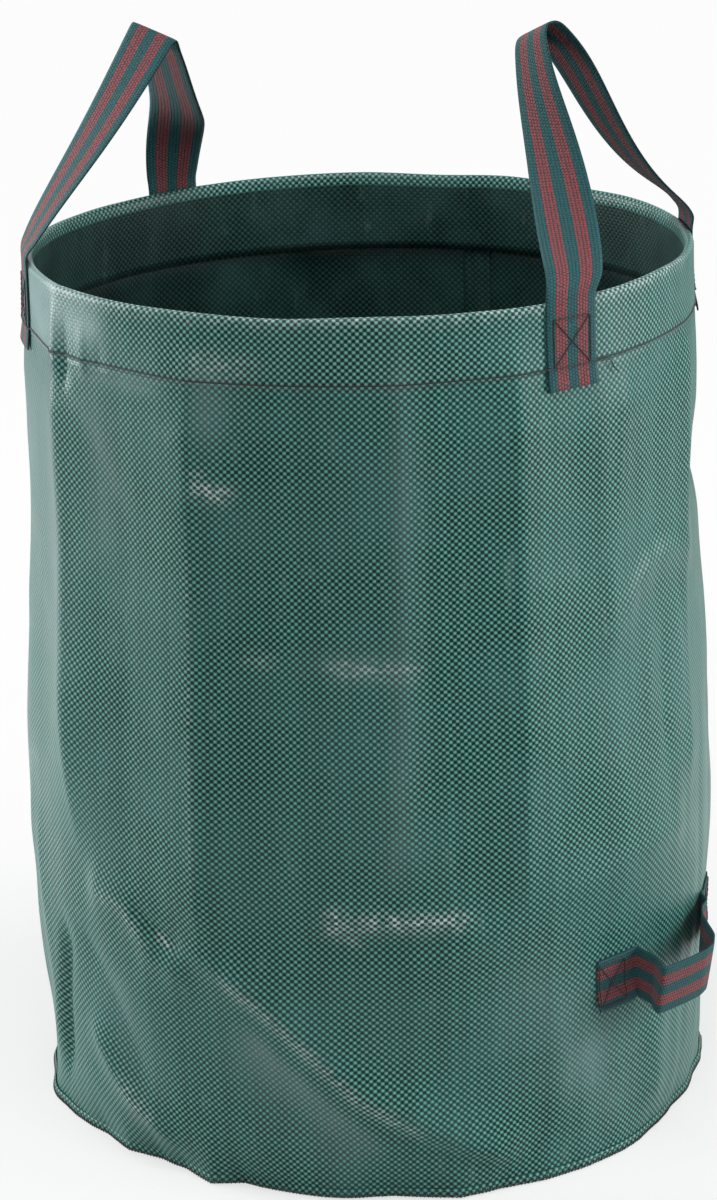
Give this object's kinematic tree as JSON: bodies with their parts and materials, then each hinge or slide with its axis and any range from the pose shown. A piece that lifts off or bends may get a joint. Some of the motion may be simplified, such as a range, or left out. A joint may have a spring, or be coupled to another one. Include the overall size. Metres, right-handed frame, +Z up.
{
  "type": "garden waste bag",
  "caption": "Round woven garden waste bag, open at the top, with a stiff hooped mouth, webbing carrying handles at either side and a low webbing handle for tipping it out.",
  "frame": {"origin": "centre of the base's underside, where the bag stands on the ground", "axes": "+Z up through the mouth; the carrying handles stand at +X and -X; the tipping handle is low on the wall under the handle at +X; the side seam is at +Y, the back"},
  "size_m": [0.5055, 0.4746, 0.7537],
  "materials": {
    "woven_fabric": "plain woven tape cloth, slightly glossy, green with dark gaps between the tapes",
    "webbing": "matt ribbed webbing, dark green with dull red stripes along it",
    "thread": "matt dark sewing thread",
    "hoop_plastic": "plain black plastic strip, hidden in the hem"
  },
  "bodies": {
    "body": {"wall_panel": "woven_fabric", "side_seam_allowance": "woven_fabric", "side_seam_stitching": "thread", "base_panel": "woven_fabric", "base_binding": "woven_fabric", "base_stitching": "thread", "tipping_handle_front_tab": "webbing", "tipping_handle_front_stitching": "thread", "tipping_handle_rear_tab": "webbing", "tipping_handle_rear_stitching": "thread"},
    "rim": {"top_hem": "woven_fabric", "rim_hoop": "hoop_plastic", "hem_stitching": "thread", "right_handle_front_tab": "webbing", "right_handle_front_stitching": "thread", "right_handle_rear_tab": "webbing", "right_handle_rear_stitching": "thread", "left_handle_front_tab": "webbing", "left_handle_front_stitching": "thread", "left_handle_rear_tab": "webbing", "left_handle_rear_stitching": "thread"},
    "right_handle": {"right_handle_loop": "webbing"},
    "left_handle": {"left_handle_loop": "webbing"},
    "tipping_handle": {"tipping_handle_loop": "webbing"}
  },
  "joints": [
    {"name": "rim_collapse", "type": "slide", "parent": "body", "child": "rim", "axis": [0, 0, -1], "range_m": [0, 0.32], "deforming": ["wall_panel", "side_seam_allowance", "side_seam_stitching"]},
    {"name": "right_handle_swing", "type": "hinge", "parent": "rim", "child": "right_handle", "pos_m": [0.1945, 0, 0.6125], "axis": [0, 1, 0], "range_deg": [-45, 105]},
    {"name": "left_handle_swing", "type": "hinge", "parent": "rim", "child": "left_handle", "pos_m": [-0.1945, 0, 0.6125], "axis": [0, -1, 0], "range_deg": [-45, 105]},
    {"name": "tipping_handle_lift", "type": "hinge", "parent": "body", "child": "tipping_handle", "pos_m": [0.23385, 0, 0.148], "axis": [-0.1059, -0.9944, 0], "range_deg": [0, 45]}
  ]
}
